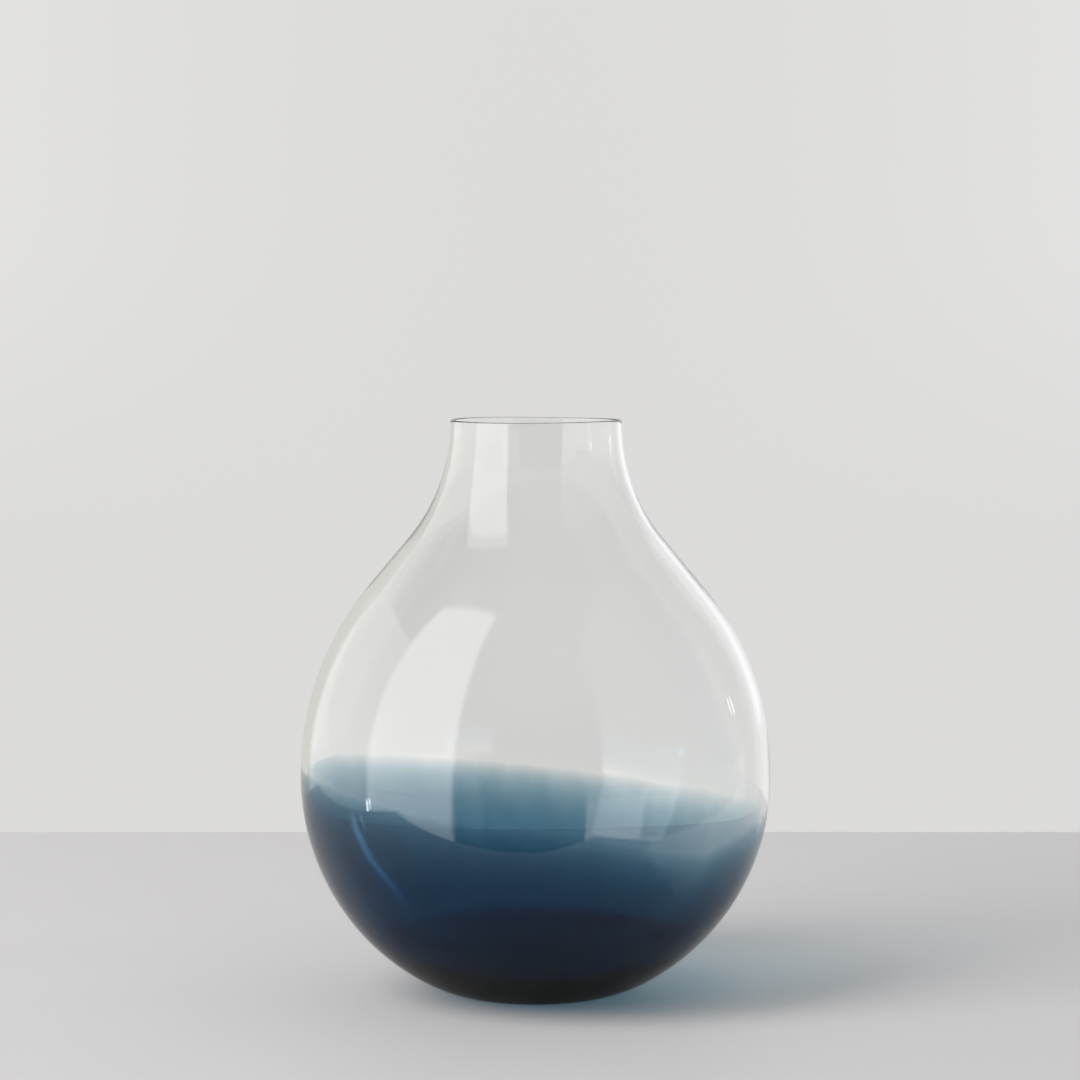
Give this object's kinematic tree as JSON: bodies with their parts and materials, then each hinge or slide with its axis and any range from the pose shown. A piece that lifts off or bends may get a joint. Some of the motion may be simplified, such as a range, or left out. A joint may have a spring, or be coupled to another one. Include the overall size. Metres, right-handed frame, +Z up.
{
  "type": "vase",
  "caption": "Pear-shaped hand-blown glass vase with a round belly, a short narrow neck and clear glass that fades to dark indigo at the base.",
  "frame": {"origin": "centre of the foot, on the surface the vase stands on", "axes": "+Z up along the vase's axis; the vase is round, so +X and +Y are level directions, with -Y towards the viewer"},
  "size_m": [0.245, 0.245, 0.3],
  "materials": {
    "clear_casing": "fire-polished, with a ground and polished pontil mark",
    "indigo_glass": "transparent indigo, fused between two clear gathers and thinning out upwards",
    "clear_bubble": "fire-polished"
  },
  "bodies": {
    "root": {"outer_casing": "clear_casing", "indigo_layer": "indigo_glass", "inner_bubble": "clear_bubble"}
  },
  "joints": []
}
